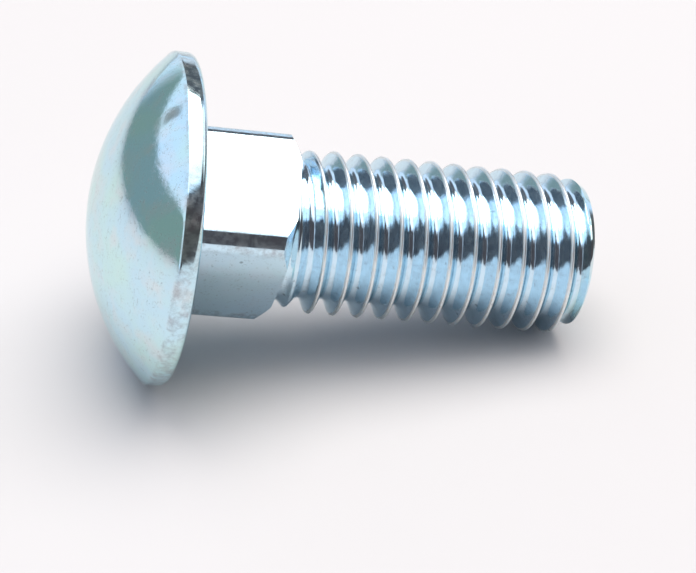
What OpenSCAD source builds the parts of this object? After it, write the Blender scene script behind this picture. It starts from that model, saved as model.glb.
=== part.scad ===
// Carriage bolt with a round head, a square neck and a coarse right-hand thread.
// It lies as it comes to rest, on the rim of its head and on one thread crest near the tip.
// Millimetres. Z is up, the floor is at zero, and the shank runs along X towards the tip.

/* [Head] */

// diameter of the round head
head_d = 25.4; // [24:0.1:28]
// height of the head from the bearing face to the top of the dome
head_h = 6.75; // [5.5:0.05:7.5]
// height of the straight edge under the dome
edge_h = 1.45; // [1:0.05:2]
// rounding where the edge turns under the head
edge_r = 0.55; // [0.2:0.05:0.8]

/* [Square neck] */

// width of the neck across its flats
neck_af = 11.2; // [11.2:0.1:13]
// rounding of the neck's four long corners
neck_corner_r = 1.05; // [0.5:0.05:1.5]
// length of the neck from the bearing face, along the middle of a flat
neck_length = 8.35; // [7.5:0.05:9]
// turn of the neck about the bolt's axis, from a flat that faces straight down
neck_turn = 28; // [0:0.1:90]
// diameter inside which the neck's end stays flat, with the corners cut back outside it
corner_cut_d = 12.4; // [11.6:0.1:13]
// angle at which the corners are cut back
corner_cut_angle = 39; // [25:1:55]
// lean of the neck's end out of square, as the header left it
neck_end_lean = 6.3; // [0:0.1:8]

/* [Shank and thread] */

// length of the bolt from the bearing face to the tip
length = 31.75; // [30:0.25:45]
// diameter over the thread crests
thread_d = 12.7; // [12.4:0.05:12.8]
// advance of the thread in one turn
thread_pitch = 1.954; // [1.9:0.002:2.1]
// depth of the thread from crest to root
thread_depth = 1.2; // [1.1:0.02:1.2]
// rounding at the root of the thread
root_round = 0.28; // [0.24:0.01:0.3]
// diameter of the plain wire at the neck, before the thread has risen from it
shank_d = 11.1; // [10.9:0.05:11.15]
// length over which the thread rises to its full depth
runout_length = 3.3; // [2:0.1:5]
// distance back from the neck's end at which the thread starts to rise
runout_lead = 0.6; // [0.5:0.05:0.8]
// diameter of the flat face at the tip
tip_d = 11.4; // [10.8:0.1:12]
// angle between the tip's bevel and the bolt's axis
tip_angle = 30; // [27:1:45]
// distance from the tip back to the crest that touches the floor
crest_setback = 1.27; // [1.15:0.01:3]

/* [Hidden] */

head_r = head_d / 2;
crest_r = thread_d / 2;
root_r = crest_r - thread_depth;
shank_r = shank_d / 2;
tip_r = tip_d / 2;

// the dome is a cap of one sphere
cap_h = head_h - edge_h;
dome_r = (head_r * head_r + cap_h * cap_h) / (2 * cap_h);

// the thread is a 60 degree vee whose crest and root are rounded
flank_angle = 30;
vee_h = thread_pitch / (2 * tan(flank_angle));
crest_round = vee_h - thread_depth - root_round;

// how far the neck runs on into the head, and the thread into the neck
neck_bury = edge_h;
thread_bury = 1.6 * thread_pitch;

// stations along the axis, counted from the bearing face
resting_crest = length - crest_setback;
turns_to_rest = ceil((resting_crest - neck_length + thread_bury) / thread_pitch);
thread_start = resting_crest - turns_to_rest * thread_pitch;
thread_turns = ceil((length - thread_start) / thread_pitch + 0.2);
runout_start = neck_length - runout_lead;

// how the bolt lies: the head's rounded edge and the resting crest share one floor
reach = resting_crest + edge_r;
drop = head_r - crest_r - edge_r;
lie_angle = asin(edge_r / norm([reach, drop])) + atan2(drop, reach);
lift = resting_crest * sin(lie_angle) + crest_r * cos(lie_angle);
left_end = (dome_r - head_h) * cos(lie_angle) - dome_r;
right_end = length * cos(lie_angle) + tip_r * sin(lie_angle);

steps = 44;
rise = [
    [0, crest_r],
    [crest_round * cos(flank_angle), crest_r - crest_round / 2],
    [thread_pitch / 2 - root_round * cos(flank_angle), root_r + root_round / 2],
    [thread_pitch / 2, root_r],
    [thread_pitch / 2 + root_round * cos(flank_angle), root_r + root_round / 2],
    [thread_pitch - crest_round * cos(flank_angle), crest_r - crest_round / 2]
];
rings = thread_turns * len(rise);

$fn = 180;

// how far the thread has risen at a station: 0 at the plain wire, 1 at full depth
function risen(z) =
    let (u = min(1, max(0, (z - runout_start) / runout_length)))
    u * (2 - u);

// one point of the thread, on a given ring and at a given step of the turn
function thread_point(ring, step) =
    let (
        p = rise[ring % len(rise)],
        z = thread_start + (floor(ring / len(rise)) + step / steps) * thread_pitch + p[0],
        r = shank_r + risen(z) * (p[1] - shank_r),
        a = 360 * step / steps
    )
    [r * cos(a), r * sin(a), z];

// number of a thread point, where a step past the last one starts the next turn
function at(ring, step) =
    step < steps ? ring * steps + step : at(ring + len(rise), step - steps);

// Head, turned with the neck, with its dome below the bearing face at zero.
module head() {
    rotate([0, 0, neck_turn])
        rotate_extrude() {
            intersection() {
                translate([0, dome_r - head_h]) circle(dome_r);
                translate([0, -head_h]) square([head_r, cap_h]);
            }
            difference() {
                translate([0, -edge_h]) square([head_r, edge_h]);
                difference() {
                    translate([head_r - edge_r, -edge_r]) square(2 * edge_r);
                    translate([head_r - edge_r, -edge_r]) circle(edge_r);
                }
            }
        }
}

// Section of the neck: a square with rounded corners.
module neck_section() {
    flat = neck_af - 2 * neck_corner_r;
    square([neck_af, flat], center = true);
    square([flat, neck_af], center = true);
    for (x = [-flat / 2, flat / 2], y = [-flat / 2, flat / 2])
        translate([x, y]) circle(neck_corner_r);
}

// Square neck, whose corners are cut back by a leaning cone at the thread's end.
module neck() {
    cone_h = neck_length + head_h;
    cone_r = corner_cut_d / 2 + cone_h / tan(corner_cut_angle);
    rotate([0, 0, neck_turn])
        intersection() {
            translate([0, 0, -neck_bury])
                linear_extrude(neck_length + 2 * neck_bury) neck_section();
            translate([0, 0, neck_length]) rotate([neck_end_lean, 0, 0])
                translate([0, 0, -cone_h])
                    cylinder(h = cone_h, r1 = cone_r, r2 = corner_cut_d / 2);
        }
}

// Threaded shank as one helical surface, a little longer than the bolt at both ends.
module thread_blank() {
    points = concat(
        [for (ring = [0:rings], step = [0:steps - 1]) thread_point(ring, step)],
        [[0, 0, thread_start + thread_pitch / 2]],
        [[0, 0, thread_start + (thread_turns + 0.5) * thread_pitch]]
    );
    low = (rings + 1) * steps;
    high = low + 1;
    per_turn = len(rise);
    top = rings - per_turn;
    faces = concat(
        [for (ring = [0:rings - 1], step = [0:steps - 2])
            [at(ring, step), at(ring + 1, step), at(ring, step + 1)]],
        [for (ring = [0:rings - 1], step = [0:steps - 2])
            [at(ring, step + 1), at(ring + 1, step), at(ring + 1, step + 1)]],
        [for (ring = [0:top - 1])
            [at(ring, steps - 1), at(ring + 1, steps - 1), at(ring, steps)]],
        [for (ring = [0:top - 1])
            [at(ring, steps), at(ring + 1, steps - 1), at(ring + 1, steps)]],
        [for (step = [0:steps - 2]) [low, at(0, step), at(0, step + 1)]],
        [[low, at(0, steps - 1), at(per_turn, 0)]],
        [for (ring = [0:per_turn - 1]) [low, at(ring + 1, 0), at(ring, 0)]],
        [for (step = [0:steps - 2]) [high, at(rings, step + 1), at(rings, step)]],
        [[high, at(rings, 0), at(top, steps - 1)]],
        [for (ring = [top:rings - 1]) [high, at(ring, steps - 1), at(ring + 1, steps - 1)]]
    );
    polyhedron(points = points, faces = faces, convexity = 12);
}

// Threaded shank cut to length, with the bevel at its tip.
module shank() {
    bevel_h = length - thread_start + thread_pitch;
    intersection() {
        thread_blank();
        translate([0, 0, length - bevel_h])
            cylinder(h = bevel_h, r1 = tip_r + bevel_h * tan(tip_angle), r2 = tip_r);
    }
}

// The whole bolt, laid down on the floor and centred on it.
module carriage_bolt() {
    color([0.78, 0.82, 0.84])
        translate([-(left_end + right_end) / 2, 0, lift])
            rotate([0, 90 + lie_angle, 0])
                union() {
                    head();
                    neck();
                    shank();
                }
}

carriage_bolt();
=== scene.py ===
import math
import bpy
import numpy as np
from mathutils import Matrix, Vector


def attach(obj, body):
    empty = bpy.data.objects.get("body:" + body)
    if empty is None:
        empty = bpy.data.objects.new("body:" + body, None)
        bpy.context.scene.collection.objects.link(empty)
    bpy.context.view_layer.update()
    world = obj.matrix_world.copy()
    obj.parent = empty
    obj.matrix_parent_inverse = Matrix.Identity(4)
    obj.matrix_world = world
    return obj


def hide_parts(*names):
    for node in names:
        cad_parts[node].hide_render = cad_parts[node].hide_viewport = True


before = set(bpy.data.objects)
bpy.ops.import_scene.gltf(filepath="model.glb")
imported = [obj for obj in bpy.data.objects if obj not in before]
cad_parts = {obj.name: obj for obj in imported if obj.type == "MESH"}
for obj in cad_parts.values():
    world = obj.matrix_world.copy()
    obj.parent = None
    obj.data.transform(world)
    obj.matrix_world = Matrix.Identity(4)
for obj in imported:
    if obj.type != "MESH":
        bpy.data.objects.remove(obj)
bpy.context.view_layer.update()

mm = 0.001


def linear(hexColour):
    # sRGB hex turned linear
    srgb = [int(hexColour[i:i + 2], 16) / 255 for i in (1, 3, 5)]
    return tuple(v / 12.92 if v < 0.04045 else ((v + 0.055) / 1.055) ** 2.4 for v in srgb) + (1.0,)


def node(tree, kind, inputs=None, **settings):
    # adds one node, sets it up, and links every input that is given as another node's socket
    n = tree.nodes.new(kind)
    for key, value in settings.items():
        setattr(n, key, value)
    for key, value in (inputs or {}).items():
        if isinstance(value, bpy.types.NodeSocket):
            tree.links.new(value, n.inputs[key])
        else:
            n.inputs[key].default_value = value
    return n


def maths(tree, operation, *values):
    return node(tree, "ShaderNodeMath", dict(enumerate(values)), operation=operation).outputs[0]


def ramp(tree, value, start, full, low=0.0, high=1.0, shape="LINEAR"):
    # goes from low to high while the value goes from start to full, and stays level outside
    span = {"Value": value, "From Min": start, "From Max": full, "To Min": low, "To Max": high}
    return node(tree, "ShaderNodeMapRange", span, interpolation_type=shape).outputs[0]


def between(tree, value, rise0, rise1, fall0, fall1):
    # smooth window: 0 below the rise, 1 inside, 0 above the fall
    rising = ramp(tree, value, rise0, rise1, shape="SMOOTHSTEP")
    falling = ramp(tree, value, fall0, fall1, 1.0, 0.0, shape="SMOOTHSTEP")
    return maths(tree, "MULTIPLY", rising, falling)


def blend(tree, share, under, over):
    mix = node(tree, "ShaderNodeMix", {"Factor": share, 6: under, 7: over}, data_type="RGBA")
    return mix.outputs[2]


# the bolt in mm and degrees, with stations counted from the bearing face towards the tip
bolt = {
    "headR": 12.7, "headH": 6.75, "edgeH": 1.45, "edgeR": 0.55, "domeBlend": 0.14,
    "neckHalf": 5.6, "neckLength": 8.35, "neckTurn": 28.0, "filletR": 0.4,
    # flats that pressing left on the neck: the way each one faces, and how far it is from the axis
    "neckFlats": [(343, 7.25), (249, 6.97), (170, 7.28), (73, 7.25), (288.5, 5.89)],
    "sharpness": 70,  # the power in neckRadius
    "endFlatR": 6.2, "cutAngle": 39.0, "endLean": 6.3,
    "length": 31.75, "tipR": 5.7, "tipAngle": 30.0, "wireR": 5.55,
    "crestR": 6.35, "pitch": 1.954, "depth": 1.23, "rootRound": 0.46, "flank": 27.0,
    "runoutLength": 3.3, "runoutLead": 0.6, "crestSetback": 1.27, "turnsBack": 13, "turnsOn": 2,
    "wear": 0.02, "wearRound": (7, 3.3), "wearAlong": (0.9, 1.7), "wearReach": 3, "floorSide": 0.9,
    "columns": 224, "crowding": 0.55, "sharpEdge": 38.0, "endRounds": 8, "joinRounds": 20,
}
# rows of the grid in each strip; crest, flank and root are those of half a pitch
rows = {"dome": 44, "blend": 5, "edge": 9, "under": 7, "fillet": 6, "wall": 12, "end": 6, "tip": 9,
        "crest": 3, "flank": 5, "root": 5}
lean = math.radians(bolt["endLean"])
turnedBy = math.radians(bolt["neckTurn"])
cut = math.radians(bolt["cutAngle"])
bevel = math.radians(bolt["tipAngle"])
flank = math.radians(bolt["flank"])
capH = bolt["headH"] - bolt["edgeH"]
domeR = (bolt["headR"] ** 2 + capH ** 2) / (2 * capH)
pitch, rootRound, wireR = bolt["pitch"], bolt["rootRound"], bolt["wireR"]
blunt = 1 / math.sin(flank) - 1  # how far an arc of radius 1 cuts back a sharp vee
crestRound = (pitch / (2 * math.tan(flank)) - bolt["depth"]) / blunt - rootRound
restCrest = bolt["length"] - bolt["crestSetback"]

# columns of the grid: even angles pulled towards the neck's four corners by a sine
even = np.linspace(0, 2 * np.pi, bolt["columns"] + 1)
corner = turnedBy + np.pi / 4
theta = even - bolt["crowding"] * (np.sin(4 * (even - corner)) + math.sin(4 * corner)) / 4
theta[-1] = 2 * np.pi


def shares(count):
    # a column of even steps that leaves out 0 and ends at 1
    return np.linspace(0, 1, count + 1)[1:, None]


def neckRadius(angle):
    # the least distance to a set of planes in polar form, softened by summing high powers:
    # (the sum of (cosine of the angle off each plane's facing / its distance) ^ n) ^ (-1 / n)
    sides = [(bolt["neckTurn"] + 90 * k, bolt["neckHalf"]) for k in range(4)]
    power = bolt["sharpness"]
    total = np.zeros_like(angle)
    for facing, distance in sides + bolt["neckFlats"]:
        total += (np.maximum(np.cos(angle - math.radians(facing)), 0) / distance) ** power
    return total ** (-1 / power)


def neckEnd(angle, radius):
    # station where a cone that leans with the neck's end is met, found in a few rounds
    x = radius * np.cos(angle - turnedBy)
    y = radius * np.sin(angle - turnedBy)
    z = np.zeros_like(y)
    for _ in range(bolt["endRounds"]):
        fromMiddle = np.hypot(x, y * math.cos(lean) + z * math.sin(lean))
        outside = np.maximum(fromMiddle - bolt["endFlatR"], 0)
        z = (y * math.sin(lean) - outside * math.tan(cut)) / math.cos(lean)
    return bolt["neckLength"] + z


def threadRadius(angle, station):
    # a vee wound on the shank, with an arc at its crest and one at its root;
    # the height follows from the distance to the nearest crest along the axis
    turns = (station - restCrest) / pitch - angle / (2 * np.pi)
    away = np.abs((turns + 0.5) % 1 - 0.5) * pitch
    rest = pitch / 2 - away
    crestArc = np.sqrt(np.maximum(crestRound ** 2 - away ** 2, 0)) - crestRound
    rootArc = rootRound - bolt["depth"] - np.sqrt(np.maximum(rootRound ** 2 - rest ** 2, 0))
    height = crestRound * blunt - away / math.tan(flank)
    height = np.where(away < crestRound * math.cos(flank), crestArc, height)
    height = np.where(rest < rootRound * math.cos(flank), rootArc, height)

    # the thread rises out of the plain wire: share = u (2 - u)
    u = np.clip((station - bolt["neckLength"] + bolt["runoutLead"]) / bolt["runoutLength"], 0, 1)
    out = wireR + u * (2 - u) * (bolt["crestR"] + height - wireR)

    # crests a few hundredths of a mm off round: (1 + a wave) * another wave squared,
    # fading towards the root and left out on the side that lies on the floor
    (round0, round1), (along0, along1) = bolt["wearRound"], bolt["wearAlong"]
    slow = 1 + np.sin(round0 * angle + along0 * station)
    waves = slow * np.sin(round1 * angle + along1 * station) ** 2
    nearCrest = np.clip(1 - away / (bolt["wearReach"] * crestRound), 0, 1)
    out = out - bolt["wear"] * waves * nearCrest * (np.cos(angle) < bolt["floorSide"])
    return np.minimum(out, bolt["tipR"] + (bolt["length"] - station) * math.tan(bevel))


# head: the dome's arc from the apex, a small blend, the straight edge, the rounded underside
arc = np.linspace(0, math.asin((bolt["headR"] - bolt["domeBlend"]) / domeR), rows["dome"])
domeRow = np.stack([domeR * (1 - np.cos(arc)) - bolt["headH"], domeR * np.sin(arc)], 1)
bend = np.array([-bolt["edgeH"], bolt["headR"]])
stop = np.array([-bolt["edgeH"] + bolt["domeBlend"], bolt["headR"]])
share = shares(rows["blend"])
blendRow = (1 - share) ** 2 * domeRow[-1] + 2 * share * (1 - share) * bend + share ** 2 * stop
quarter = np.linspace(0, np.pi / 2, rows["edge"])
edgeS = bolt["edgeR"] * (np.sin(quarter) - 1)
edgeR = bolt["headR"] - bolt["edgeR"] * (1 - np.cos(quarter))
profile = np.concatenate([domeRow, blendRow, np.stack([edgeS, edgeR], 1)])
headS = np.repeat(profile[:, :1], len(theta), 1)
headR = np.repeat(profile[:, 1:], len(theta), 1)

# underside: straight in to the fillet, then a quarter turn into the neck's wall
wall = neckRadius(theta)
fillet = bolt["filletR"]
underR = profile[-1, 1] + shares(rows["under"]) * (wall + fillet - profile[-1, 1])
bow = np.linspace(0, np.pi / 2, rows["fillet"] + 1)[1:, None]
filletR = wall + fillet * (1 - np.sin(bow))
filletS = fillet * (1 - np.cos(bow)) + 0 * wall

# neck: its wall up to the cut-back end, then the end face in to the thread
joinR = np.full_like(theta, wireR)
for _ in range(bolt["joinRounds"]):
    joinS = neckEnd(theta, joinR)
    joinR = threadRadius(theta, joinS)
neckS = fillet + shares(rows["wall"]) * (neckEnd(theta, wall) - fillet)
neckR = np.repeat(wall[None], rows["wall"], 0)
endR = wall + shares(rows["end"]) * (joinR - wall)
endS = neckEnd(theta[None], endR)

# thread: the rows follow the helix, so crests, flanks and roots each keep rows of their own
crestEnd = crestRound * math.cos(flank)
rootStart = pitch / 2 - rootRound * math.cos(flank)
half = np.concatenate([np.linspace(0, crestEnd, rows["crest"]),
                       np.linspace(crestEnd, rootStart, rows["flank"])[1:],
                       np.linspace(rootStart, pitch / 2, rows["root"])[1:]])
phase = np.concatenate([half, pitch - half[-2:0:-1]])
crests = restCrest + np.arange(-bolt["turnsBack"], bolt["turnsOn"])[:, None] * pitch
rowS = (crests + phase[None]).ravel()
threadS = np.clip(rowS[:, None] + theta[None] / (2 * np.pi) * pitch, joinS[None], bolt["length"])
threadR = threadRadius(theta[None], threadS)

# tip: straight in to the middle
tipEdge = threadRadius(theta, np.full_like(theta, bolt["length"]))
tipR = np.linspace(1, 0, rows["tip"])[:, None] * tipEdge
tipS = np.full_like(tipR, bolt["length"])

station = np.concatenate([headS, np.zeros_like(underR), filletS, neckS, endS, threadS, tipS])
radius = np.concatenate([headR, underR, filletR, neckR, endR, threadR, tipR])
print("bolt grid", station.shape)

# how the bolt lies: the head's rounded edge and the last crest share the floor
reach = restCrest + bolt["edgeR"]
drop = bolt["headR"] - bolt["crestR"] - bolt["edgeR"]
lie = math.asin(bolt["edgeR"] / math.hypot(reach, drop)) + math.atan2(drop, reach)
leftEnd = (domeR - bolt["headH"]) * math.cos(lie) - domeR
rightEnd = bolt["length"] * math.cos(lie) + bolt["tipR"] * math.sin(lie)
lift = restCrest * math.sin(lie) + bolt["crestR"] * math.cos(lie)
down = [-math.sin(lie), 0, -math.cos(lie)]
axis = [math.cos(lie), 0, -math.sin(lie)]
middle = np.array([-(leftEnd + rightEnd) / 2, 0, lift])
own = np.stack([radius * np.cos(theta), radius * np.sin(theta), station], -1).reshape(-1, 3)
points = middle + own @ np.array([down, [0, 1, 0], axis])

# points equal to five decimals of a mm become one, which closes the seam and the poles
# and joins each turn of the helix to the next
_, first, index = np.unique(np.round(points, 5), axis=0, return_index=True, return_inverse=True)
index = index.reshape(station.shape)
quads = np.stack([index[:-1, :-1], index[1:, :-1], index[1:, 1:], index[:-1, 1:]], -1)
quads = quads.reshape(-1, 4)
tris = np.concatenate([quads[:, [0, 1, 2]], quads[:, [0, 2, 3]]])
tris = tris[(tris[:, 0] != tris[:, 1]) & (tris[:, 1] != tris[:, 2]) & (tris[:, 0] != tris[:, 2])]

mesh = bpy.data.meshes.new("carriageBolt")
mesh.from_pydata((points[first] * mm).tolist(), [], tris.tolist())
ownMm = mesh.attributes.new("boltFrame", "FLOAT_VECTOR", "POINT")
ownMm.data.foreach_set("vector", own[first].ravel().astype(np.float32))
outMm = mesh.attributes.new("radius", "FLOAT", "POINT")
outMm.data.foreach_set("value", radius.ravel()[first].astype(np.float32))
mesh.polygons.foreach_set("use_smooth", np.ones(len(mesh.polygons), dtype=bool))
mesh.set_sharp_from_angle(angle=math.radians(bolt["sharpEdge"]))
boltObj = bpy.data.objects.new("carriageBolt", mesh)
bpy.context.scene.collection.objects.link(boltObj)
print("bolt mesh", len(first), "points", len(tris), "triangles")

# zinc-plated steel, barrel plated bright and blue passivated: a thin glossy coat that mirrors
# the room sharply in pale blue to green, and is dull only where a rinse dried or a crest rubbed
plating = {
    "bright": "#cbeaf8", "mint": "#cfeeec", "rose": "#dde6ea",  # slow drift of the film's tint
    "bouncedBlue": "#d4edfc",  # painted reflection: plating blue made brighter and bluer in the thread and on the neck, for light bounced between the flanks and off the shaded floor
    "crest": "#f0eeea",   # rubbed crests
    "stain": "#9a908f",   # brown spots that the rinse left
    "pit": "#6d7072",
    "facing": "#eef4f4",  # colour of the mirror seen at a glance
    "neckBounceShare": 0.7, "threadStain": 0.2, "stainOverMetal": -0.3,
}
# where each area fades in and out, in mm along the axis or, with an R, out from it
areas = {
    "thread": (8.0, 8.8, 30.9, 31.3), "threadR": (0, 0.1, 6.4, 6.5), "crestR": (6.1, 6.22, 7, 7.1),
    "neck": (0.3, 0.6, 9, 10), "cornerR": (6.6, 6.85, 8, 8.1),
    "edgeR": (12.4, 12.62, 14, 15), "dome": (-9.0, -8.0, -1.9, -1.5),
}
# which part of a pattern shows: its start and its full value, then what they are turned into
shows = {
    "mint": (0.4, 0.62), "rose": (0.5, 0.7, 0.0, 0.8), "rub": (0.35, 0.6, 0.5, 1.0),
    "spots": (0.42, 0.66, 0.0, 0.5), "fine": (0.55, 0.68, 0.0, 0.5), "patchy": (0.44, 0.6),
    "scuff": (0.62, 0.72, 0.0, 0.4), "pits": (0.03, 0.075, 0.55, 0.0),
    "gloss": (0.3, 0.7, 0.05, 0.12),
}
rougher = {"stain": 0.16, "thread": 0.03, "crest": 0.2}
reliefMm = {"wave": 0.018, "grain": 0.003, "rolled": 0.012, "stain": -0.002}

zinc = bpy.data.materials.new("zincPlatedSteel")
zinc.use_nodes = True
tree = zinc.node_tree
tree.nodes.clear()
frameMm = node(tree, "ShaderNodeAttribute", attribute_name="boltFrame").outputs["Vector"]
radiusMm = node(tree, "ShaderNodeAttribute", attribute_name="radius").outputs["Fac"]
stationMm = node(tree, "ShaderNodeSeparateXYZ", {0: frameMm}).outputs[2]


def noise(perMm, detail, roughness=0.5, distortion=0.0, stretch=None):
    where = frameMm
    if stretch:
        where = node(tree, "ShaderNodeMapping", {"Vector": frameMm, "Scale": stretch}).outputs[0]
    return node(tree, "ShaderNodeTexNoise", {
        "Vector": where, "Scale": perMm, "Detail": detail, "Roughness": roughness,
        "Distortion": distortion}).outputs["Fac"]


cloud = noise(0.22, 3.0)                   # 5 mm
drift = noise(0.5, 4.0, distortion=0.4)    # 2 mm
mottle = noise(1.7, 6.0, roughness=0.62)   # 0.6 mm
grain = noise(6.0, 3.0, roughness=0.6)     # 0.17 mm, coarser than the plating's own grain
rolled = noise(1.6, 4.0, roughness=0.6, stretch=(0.35, 0.35, 4.0))  # 0.16 mm lines round the thread

onThread = maths(tree, "MULTIPLY", between(tree, stationMm, *areas["thread"]),
                 between(tree, radiusMm, *areas["threadR"]))
onCrest = maths(tree, "MULTIPLY", between(tree, radiusMm, *areas["crestR"]), onThread)
onEdge = between(tree, radiusMm, *areas["edgeR"])
onNeck = between(tree, stationMm, *areas["neck"])
onCorner = maths(tree, "MULTIPLY", between(tree, radiusMm, *areas["cornerR"]), onNeck)

tint = ramp(tree, cloud, *shows["mint"])
colour = blend(tree, tint, linear(plating["bright"]), linear(plating["mint"]))
colour = blend(tree, ramp(tree, drift, *shows["rose"]), colour, linear(plating["rose"]))
# painted reflection: a bluer tint in the thread and on the neck stands in for light bounced between
# the flanks and up from the shaded floor
bounceTint = maths(tree, "MAXIMUM", maths(tree, "MULTIPLY", onNeck, plating["neckBounceShare"]), onThread)
colour = blend(tree, bounceTint, colour, linear(plating["bouncedBlue"]))
rub = maths(tree, "MULTIPLY", ramp(tree, grain, *shows["rub"]), onCrest)
colour = blend(tree, rub, colour, linear(plating["crest"]))

# stains gather on the head's edge, the neck's corners and here and there in the thread,
# and fine ones lie in patches all over
place = maths(tree, "MAXIMUM", onEdge, onCorner)
place = maths(tree, "MULTIPLY_ADD", onThread, plating["threadStain"], place)
stain = maths(tree, "MULTIPLY", ramp(tree, mottle, *shows["spots"]), place)
patchy = ramp(tree, mottle, *shows["patchy"])
fine = maths(tree, "MULTIPLY", ramp(tree, grain, *shows["fine"]), patchy)
stain = maths(tree, "MAXIMUM", stain, fine)

# faint scuffs on the dome from tumbling in the plating barrel, 0.2 mm wide and 2.5 mm long
scuff = noise(1.3, 3.0, distortion=0.6, stretch=(0.3, 4.0, 4.0))
scuff = maths(tree, "MULTIPLY", ramp(tree, scuff, *shows["scuff"]),
              between(tree, stationMm, *areas["dome"]))
stain = maths(tree, "MAXIMUM", stain, maths(tree, "MULTIPLY", scuff, patchy))
colour = blend(tree, stain, colour, linear(plating["stain"]))

# small pits, up to a third of a mm across and some 6 mm apart
pits = node(tree, "ShaderNodeTexVoronoi", {"Vector": frameMm, "Scale": 0.42}).outputs["Distance"]
pits = ramp(tree, pits, *shows["pits"])
stain = maths(tree, "MAXIMUM", stain, pits)
colour = blend(tree, pits, colour, linear(plating["pit"]))

gloss = ramp(tree, mottle, *shows["gloss"])
for area, more in ((stain, "stain"), (onThread, "thread"), (onCrest, "crest")):
    gloss = maths(tree, "MULTIPLY_ADD", area, rougher[more], gloss)

# relief: slow waves of the pressed head, the plating's grain, rolling marks round the thread
relief = maths(tree, "MULTIPLY", drift, reliefMm["wave"])
rolledIn = maths(tree, "MULTIPLY", rolled, onThread)
for pattern, height in ((mottle, "grain"), (rolledIn, "rolled"), (stain, "stain")):
    relief = maths(tree, "MULTIPLY_ADD", pattern, reliefMm[height], relief)
bump = node(tree, "ShaderNodeBump", {"Height": relief, "Distance": mm, "Strength": 1.0}).outputs[0]
# a dried stain covers the metal, so it mirrors less
bare = maths(tree, "MULTIPLY_ADD", stain, plating["stainOverMetal"], 1.0)
shader = node(tree, "ShaderNodeBsdfPrincipled", {
    "Metallic": bare, "Base Color": colour, "Roughness": gloss, "Normal": bump,
    "Specular Tint": linear(plating["facing"])})
node(tree, "ShaderNodeOutputMaterial", {0: shader.outputs[0]})
boltObj.data.materials.append(zinc)

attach(boltObj, "root")
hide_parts("carriage_bolt")
print("bolt material")

# floor: a wide sheet of white paper, matte all over, so the shadow on it stays soft
sheet = {"size": 6.0, "colour": "#c7c5c6"}
bpy.ops.mesh.primitive_plane_add(size=sheet["size"], location=(0, 0, 0))
floor = bpy.context.object
floor.name = "paperFloor"
paper = bpy.data.materials.new("whitePaper")
paper.use_nodes = True
paperShader = paper.node_tree.nodes["Principled BSDF"]
paperShader.inputs["Base Color"].default_value = linear(sheet["colour"])
paperShader.inputs["Roughness"].default_value = 1.0
paperShader.inputs["Specular IOR Level"].default_value = 0.0
floor.data.materials.append(paper)

# studio: a bright room with a large soft box overhead and a dark side behind the camera
world = bpy.data.worlds.new("studio")
world.use_nodes = True
bpy.context.scene.world = world
tree = world.node_tree
tree.nodes.clear()
direction = node(tree, "ShaderNodeTexCoord").outputs["Generated"]
ray = node(tree, "ShaderNodeSeparateXYZ", {0: direction}).outputs


def inDegrees(angle):
    return maths(tree, "MULTIPLY", angle, math.degrees(1))


elevation = inDegrees(maths(tree, "ARCSINE", ray[2]))
fromTip = inDegrees(maths(tree, "ARCTAN2", ray[1], ray[0]))  # 0 past the tip, 90 behind
mirrored = maths(tree, "MULTIPLY", ray[0], -1.0)
fromHead = inDegrees(maths(tree, "ARCTAN2", ray[1], mirrored))  # 0 past the head, 90 behind

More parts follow.
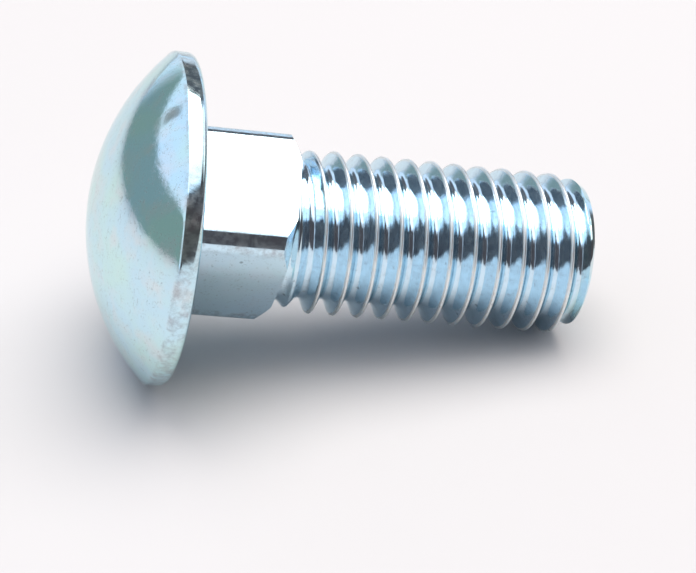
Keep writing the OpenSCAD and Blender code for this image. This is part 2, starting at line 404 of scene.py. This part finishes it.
# each card: angles round the bolt, angles above the floor, radiance
cards = [
    (None, (62, 72, 200, 201), (1.6, 1.58, 1.56)),                             # ceiling
    ((fromTip, -135, -120, 92, 110), (46, 52, 200, 201), (1.6, 1.58, 1.56)),   # its nearer side
    ((fromHead, -30, -20, 60, 74), (-4, -1, 18, 21), (0.26, 0.34, 0.34)),      # low past the head
    ((fromTip, -140, -118, -14, -4), (-4, -1, 43, 48), (0.085, 0.07, 0.075)),  # behind the camera
    ((fromTip, 34, 42, 92, 102), (11, 17, 50, 54), (0.12, 0.115, 0.13)),       # window frame
    ((fromTip, -18, -10, 30, 38), (19, 23, 36, 44), (1.6, 1.6, 1.65)),         # window past the tip
    ((fromTip, -20, -10, 26, 36), (-4, -1, 14, 19), (0.14, 0.12, 0.12)),       # dark bench under it
    ((fromHead, 38, 41, 44, 47), (20, 22, 27, 31), (0.35, 0.36, 0.38)),        # stand past the head
]
light = (0.865, 0.95, 1.11, 1.0)  # the room's walls
for sweep, tall, radiance in cards:
    mask = between(tree, elevation, *tall)
    if sweep:
        mask = maths(tree, "MULTIPLY", mask, between(tree, *sweep))
    light = blend(tree, mask, light, radiance + (1.0,))
background = node(tree, "ShaderNodeBackground", {"Color": light, "Strength": 1.0})
node(tree, "ShaderNodeOutputWorld", {0: background.outputs[0]})

# soft box: metres and watts, facing the bolt
softBox = {"across": 0.62, "place": (0.07, 0.07, 0.56), "power": 3.3, "colour": (1.0, 0.95, 0.89)}
lamp = bpy.data.lights.new("softBox", "AREA")
lamp.shape = "DISK"
lamp.size = softBox["across"]
lamp.energy = softBox["power"]
lamp.color = softBox["colour"]
lampObj = bpy.data.objects.new("softBox", lamp)
lampObj.location = softBox["place"]
lampObj.rotation_euler = (-Vector(softBox["place"])).to_track_quat("-Z", "Y").to_euler()
bpy.context.scene.collection.objects.link(lampObj)
print("studio")

# camera: a long lens at the photo's height and side, framed for 696 by 573, placed in mm
shot = {"focalPixels": 2000, "wide": 696, "sensorMm": 36.0, "nearest": 0.01,
        "right": (0.985923, -0.167202, 0.0), "look": (0.140716, 0.829747, -0.540110),
        "place": (-21.6505, -131.1790, 90.2559)}
camera = bpy.data.cameras.new("camera")
camera.sensor_width = shot["sensorMm"]
camera.lens = shot["sensorMm"] * shot["focalPixels"] / shot["wide"]
camera.clip_start = shot["nearest"]
cameraObj = bpy.data.objects.new("camera", camera)
right, look = Vector(shot["right"]), Vector(shot["look"])
pose = Matrix((right, right.cross(look), -look)).transposed().to_4x4()
pose.translation = Vector(shot["place"]) * mm
cameraObj.matrix_world = pose
bpy.context.scene.collection.objects.link(cameraObj)
bpy.context.scene.camera = cameraObj
bpy.context.scene.view_settings.view_transform = "Standard"
print("camera")
